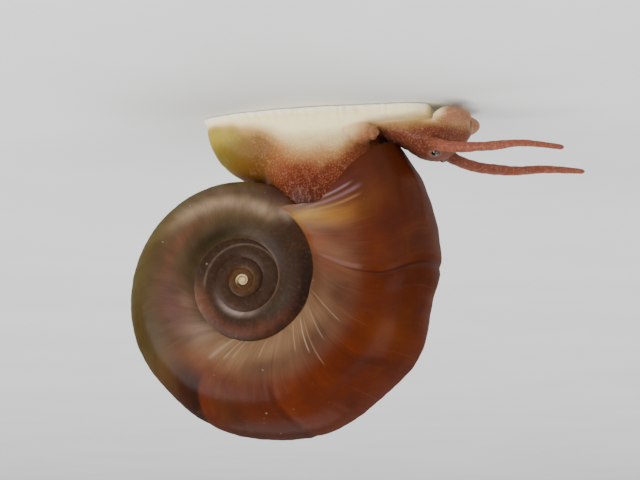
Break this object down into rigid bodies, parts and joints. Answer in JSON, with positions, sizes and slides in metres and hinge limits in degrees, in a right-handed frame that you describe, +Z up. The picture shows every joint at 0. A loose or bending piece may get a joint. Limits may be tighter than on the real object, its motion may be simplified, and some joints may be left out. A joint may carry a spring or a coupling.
{
  "type": "ramshorn snail",
  "caption": "Still life-size model of a ramshorn snail: flat coiled red-brown shell carried on edge over a crawling body with thread-like tentacles.",
  "frame": {"origin": "on the flat of the sole, on the floor, straight under the shell's coiling axis", "axes": "+Z up, the head points along -X, the coiling axis lies along Y with the sunken spire towards -Y"},
  "size_m": [0.0273, 0.009, 0.0199],
  "materials": {
    "shell": "thin horny shell, satin gloss, red-brown with a paler olive-brown side",
    "skin": "moist reddish-brown skin with fine pale granules",
    "sole": "moist cream to olive-yellow foot",
    "eye": "small dark moist eye"
  },
  "bodies": {
    "root": {"shell": "shell", "mantle": "skin", "stalk": "skin", "tail": "sole", "foot": "sole", "neck": "skin", "head": "skin", "snout": "skin", "tentacle_left_base": "skin", "tentacle_left_tip": "skin", "tentacle_right_base": "skin", "tentacle_right_tip": "skin", "eye_left": "eye", "eye_right": "eye"}
  },
  "joints": []
}
